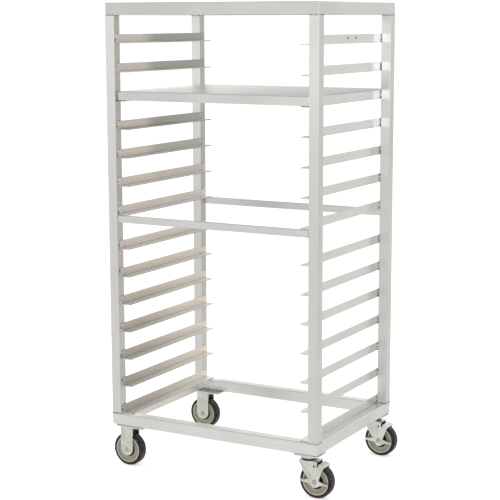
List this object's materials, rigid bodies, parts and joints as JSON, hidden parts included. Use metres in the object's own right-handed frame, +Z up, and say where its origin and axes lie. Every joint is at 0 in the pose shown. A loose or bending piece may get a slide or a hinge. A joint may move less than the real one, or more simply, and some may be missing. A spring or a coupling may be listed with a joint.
{
  "type": "sheet pan rack",
  "caption": "Mobile side-load sheet pan rack: welded square-tube frame, paired L ledges for pans, one removable shelf, rigid casters on one side and braked swivel casters on the other.",
  "frame": {"origin": "on the floor under the wheels, at the centre of the rack's overall plan with the swivel casters trailing to the right", "axes": "+Z up, +X to the right and +Y to the back for somebody who stands at the loading side"},
  "size_m": [0.7834, 0.5453, 1.474],
  "materials": {
    "frame_tube": "mill-finish extruded aluminium tube",
    "slide_angle": "mill-finish extruded aluminium angle, semi-gloss",
    "shelf_sheet": "smooth aluminium sheet",
    "pad_plate": "aluminium plate, welded edges",
    "zinc_fork": "zinc-plated pressed steel",
    "bright_zinc": "bright zinc-plated steel",
    "bearing_steel": "polished hardened steel",
    "brake_plate": "zinc-plated pressed steel, slightly worn",
    "hub_plastic": "moulded beige-grey plastic",
    "tyre_rubber": "dark brown-black rubber tread"
  },
  "bodies": {
    "rack_frame": {"base_rail_front": "frame_tube", "base_rail_left": "frame_tube", "base_rail_rear": "frame_tube", "base_rail_right": "frame_tube", "caster_pad_front_left": "pad_plate", "caster_pad_front_right": "pad_plate", "caster_pad_rear_left": "pad_plate", "caster_pad_rear_right": "pad_plate", "kingpin_front_right": "bright_zinc", "kingpin_rear_right": "bright_zinc", "mid_brace_front": "frame_tube", "mid_brace_rear": "frame_tube", "pan_slides_level_01": "slide_angle", "pan_slides_level_02": "slide_angle", "pan_slides_level_03": "slide_angle", "pan_slides_level_04": "slide_angle", "pan_slides_level_05": "slide_angle", "pan_slides_level_06": "slide_angle", "pan_slides_level_07": "slide_angle", "pan_slides_level_08": "slide_angle", "pan_slides_level_09": "slide_angle", "pan_slides_level_10": "slide_angle", "pan_slides_level_11": "slide_angle", "pan_slides_level_12": "slide_angle", "pan_slides_level_13": "slide_angle", "pan_slides_level_14": "slide_angle", "post_front_left": "frame_tube", "post_front_right": "frame_tube", "post_rear_left": "frame_tube", "post_rear_right": "frame_tube", "rigid_fork_front_left": "zinc_fork", "rigid_fork_rear_left": "zinc_fork", "swivel_race_front_right": "bright_zinc", "swivel_race_rear_right": "bright_zinc", "top_rail_front": "frame_tube", "top_rail_left": "frame_tube", "top_rail_rear": "frame_tube", "top_rail_right": "frame_tube", "axle_front_left": "bright_zinc", "axle_rear_left": "bright_zinc"},
    "shelf": {"removable_shelf": "shelf_sheet"},
    "wheel_front_left": {"wheel_hub_front_left": "hub_plastic", "tyre_front_left": "tyre_rubber"},
    "swivel_front_right": {"swivel_yoke_front_right": "zinc_fork", "axle_front_right": "bright_zinc", "bearing_balls_front_right": "bearing_steel"},
    "wheel_front_right": {"wheel_hub_front_right": "hub_plastic", "tyre_front_right": "tyre_rubber"},
    "brake_front_right": {"brake_lever_front_right": "brake_plate"},
    "wheel_rear_left": {"wheel_hub_rear_left": "hub_plastic", "tyre_rear_left": "tyre_rubber"},
    "swivel_rear_right": {"swivel_yoke_rear_right": "zinc_fork", "axle_rear_right": "bright_zinc", "bearing_balls_rear_right": "bearing_steel"},
    "wheel_rear_right": {"wheel_hub_rear_right": "hub_plastic", "tyre_rear_right": "tyre_rubber"},
    "brake_rear_right": {"brake_lever_rear_right": "brake_plate"}
  },
  "joints": [
    {"name": "shelf_slide", "type": "slide", "parent": "rack_frame", "child": "shelf", "axis": [0, -1, 0], "range_m": [0, 0.38]},
    {"name": "wheel_spin_front_left", "type": "hinge", "parent": "rack_frame", "child": "wheel_front_left", "pos_m": [-0.338, -0.243, 0.0537], "axis": [0, 1, 0], "continuous": true},
    {"name": "swivel_front_right_turn", "type": "hinge", "parent": "rack_frame", "child": "swivel_front_right", "pos_m": [0.311, -0.243, 0.12], "axis": [0, 0, 1], "continuous": true},
    {"name": "wheel_spin_front_right", "type": "hinge", "parent": "swivel_front_right", "child": "wheel_front_right", "pos_m": [0.338, -0.243, 0.0537], "axis": [0, 1, 0], "continuous": true},
    {"name": "brake_front_right_press", "type": "hinge", "parent": "swivel_front_right", "child": "brake_front_right", "pos_m": [0.338, -0.243, 0.0537], "axis": [0, 1, 0], "range_deg": [-4, 10]},
    {"name": "wheel_spin_rear_left", "type": "hinge", "parent": "rack_frame", "child": "wheel_rear_left", "pos_m": [-0.338, 0.231, 0.0537], "axis": [0, 1, 0], "continuous": true},
    {"name": "swivel_rear_right_turn", "type": "hinge", "parent": "rack_frame", "child": "swivel_rear_right", "pos_m": [0.311, 0.231, 0.12], "axis": [0, 0, 1], "continuous": true},
    {"name": "wheel_spin_rear_right", "type": "hinge", "parent": "swivel_rear_right", "child": "wheel_rear_right", "pos_m": [0.338, 0.231, 0.0537], "axis": [0, 1, 0], "continuous": true},
    {"name": "brake_rear_right_press", "type": "hinge", "parent": "swivel_rear_right", "child": "brake_rear_right", "pos_m": [0.338, 0.231, 0.0537], "axis": [0, 1, 0], "range_deg": [-4, 10]}
  ]
}
